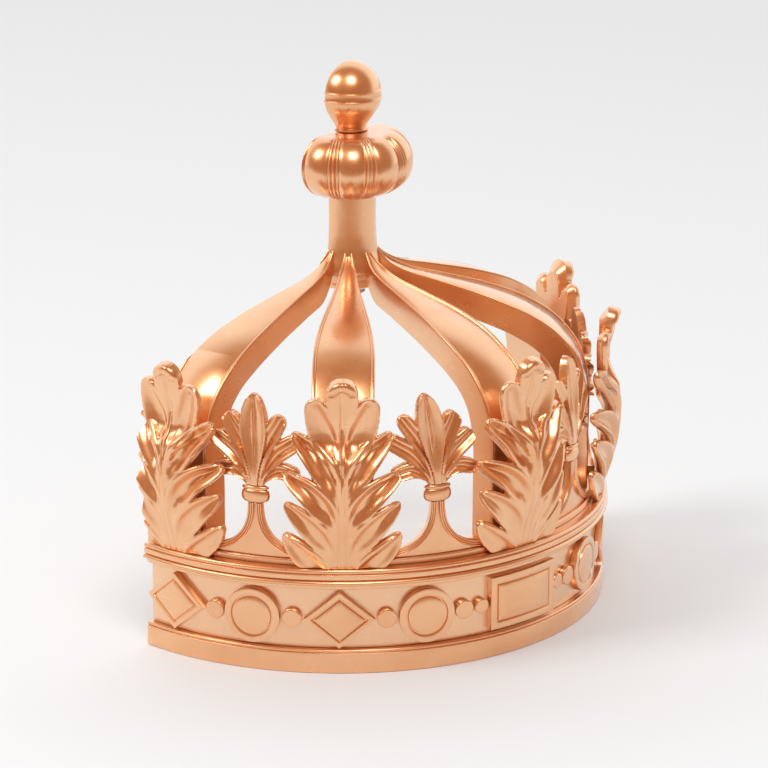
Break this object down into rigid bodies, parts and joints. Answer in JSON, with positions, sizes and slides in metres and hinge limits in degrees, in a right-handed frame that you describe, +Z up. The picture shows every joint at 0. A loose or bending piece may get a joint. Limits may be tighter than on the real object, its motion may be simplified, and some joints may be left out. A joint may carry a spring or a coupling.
{
  "type": "half-round wall crown",
  "caption": "Half-round, flat-backed wall crown: jewelled band, acanthus leaves and palmettes, ogee straps and a turned finial.",
  "frame": {"origin": "middle of the box that holds the crown, on the surface that it stands on", "axes": "+Z up from the base rim to the finial, +Y out of the flat back, -Y out of the round front"},
  "size_m": [0.4256, 0.204, 0.4098],
  "materials": {
    "copper_finish": "satin copper paint over cast resin",
    "steel_fixings": "zinc-plated"
  },
  "bodies": {
    "root": {"ball_finial": "copper_finish", "base_rim": "copper_finish", "crest_ledge": "copper_finish", "disc_left_1": "copper_finish", "disc_left_2": "copper_finish", "disc_left_3": "copper_finish", "disc_left_4": "copper_finish", "disc_right_1": "copper_finish", "disc_right_2": "copper_finish", "disc_right_3": "copper_finish", "disc_right_4": "copper_finish", "finial_bolt": "steel_fixings", "frieze_band": "copper_finish", "hanger_left": "steel_fixings", "hanger_right": "steel_fixings", "hanger_screw_left_lower": "steel_fixings", "hanger_screw_left_upper": "steel_fixings", "hanger_screw_right_lower": "steel_fixings", "hanger_screw_right_upper": "steel_fixings", "leaf_1": "copper_finish", "leaf_2": "copper_finish", "leaf_3": "copper_finish", "leaf_4": "copper_finish", "leaf_5": "copper_finish", "lozenge_left_1": "copper_finish", "lozenge_left_2": "copper_finish", "lozenge_right_1": "copper_finish", "lozenge_right_2": "copper_finish", "melon": "copper_finish", "neck": "copper_finish", "palmette_fan_1": "copper_finish", "palmette_fan_2": "copper_finish", "palmette_fan_3": "copper_finish", "palmette_fan_4": "copper_finish", "palmette_knop_1": "copper_finish", "palmette_knop_2": "copper_finish", "palmette_knop_3": "copper_finish", "palmette_knop_4": "copper_finish", "palmette_stem_1": "copper_finish", "palmette_stem_2": "copper_finish", "palmette_stem_3": "copper_finish", "palmette_stem_4": "copper_finish", "rectangle_plaque": "copper_finish", "round_left_1": "copper_finish", "round_left_2": "copper_finish", "round_right_1": "copper_finish", "round_right_2": "copper_finish", "small_disc_left_1": "copper_finish", "small_disc_right_1": "copper_finish", "strap_1": "copper_finish", "strap_2": "copper_finish", "strap_3": "copper_finish", "strap_4": "copper_finish", "strap_5": "copper_finish", "top_moulding": "copper_finish"}
  },
  "joints": []
}
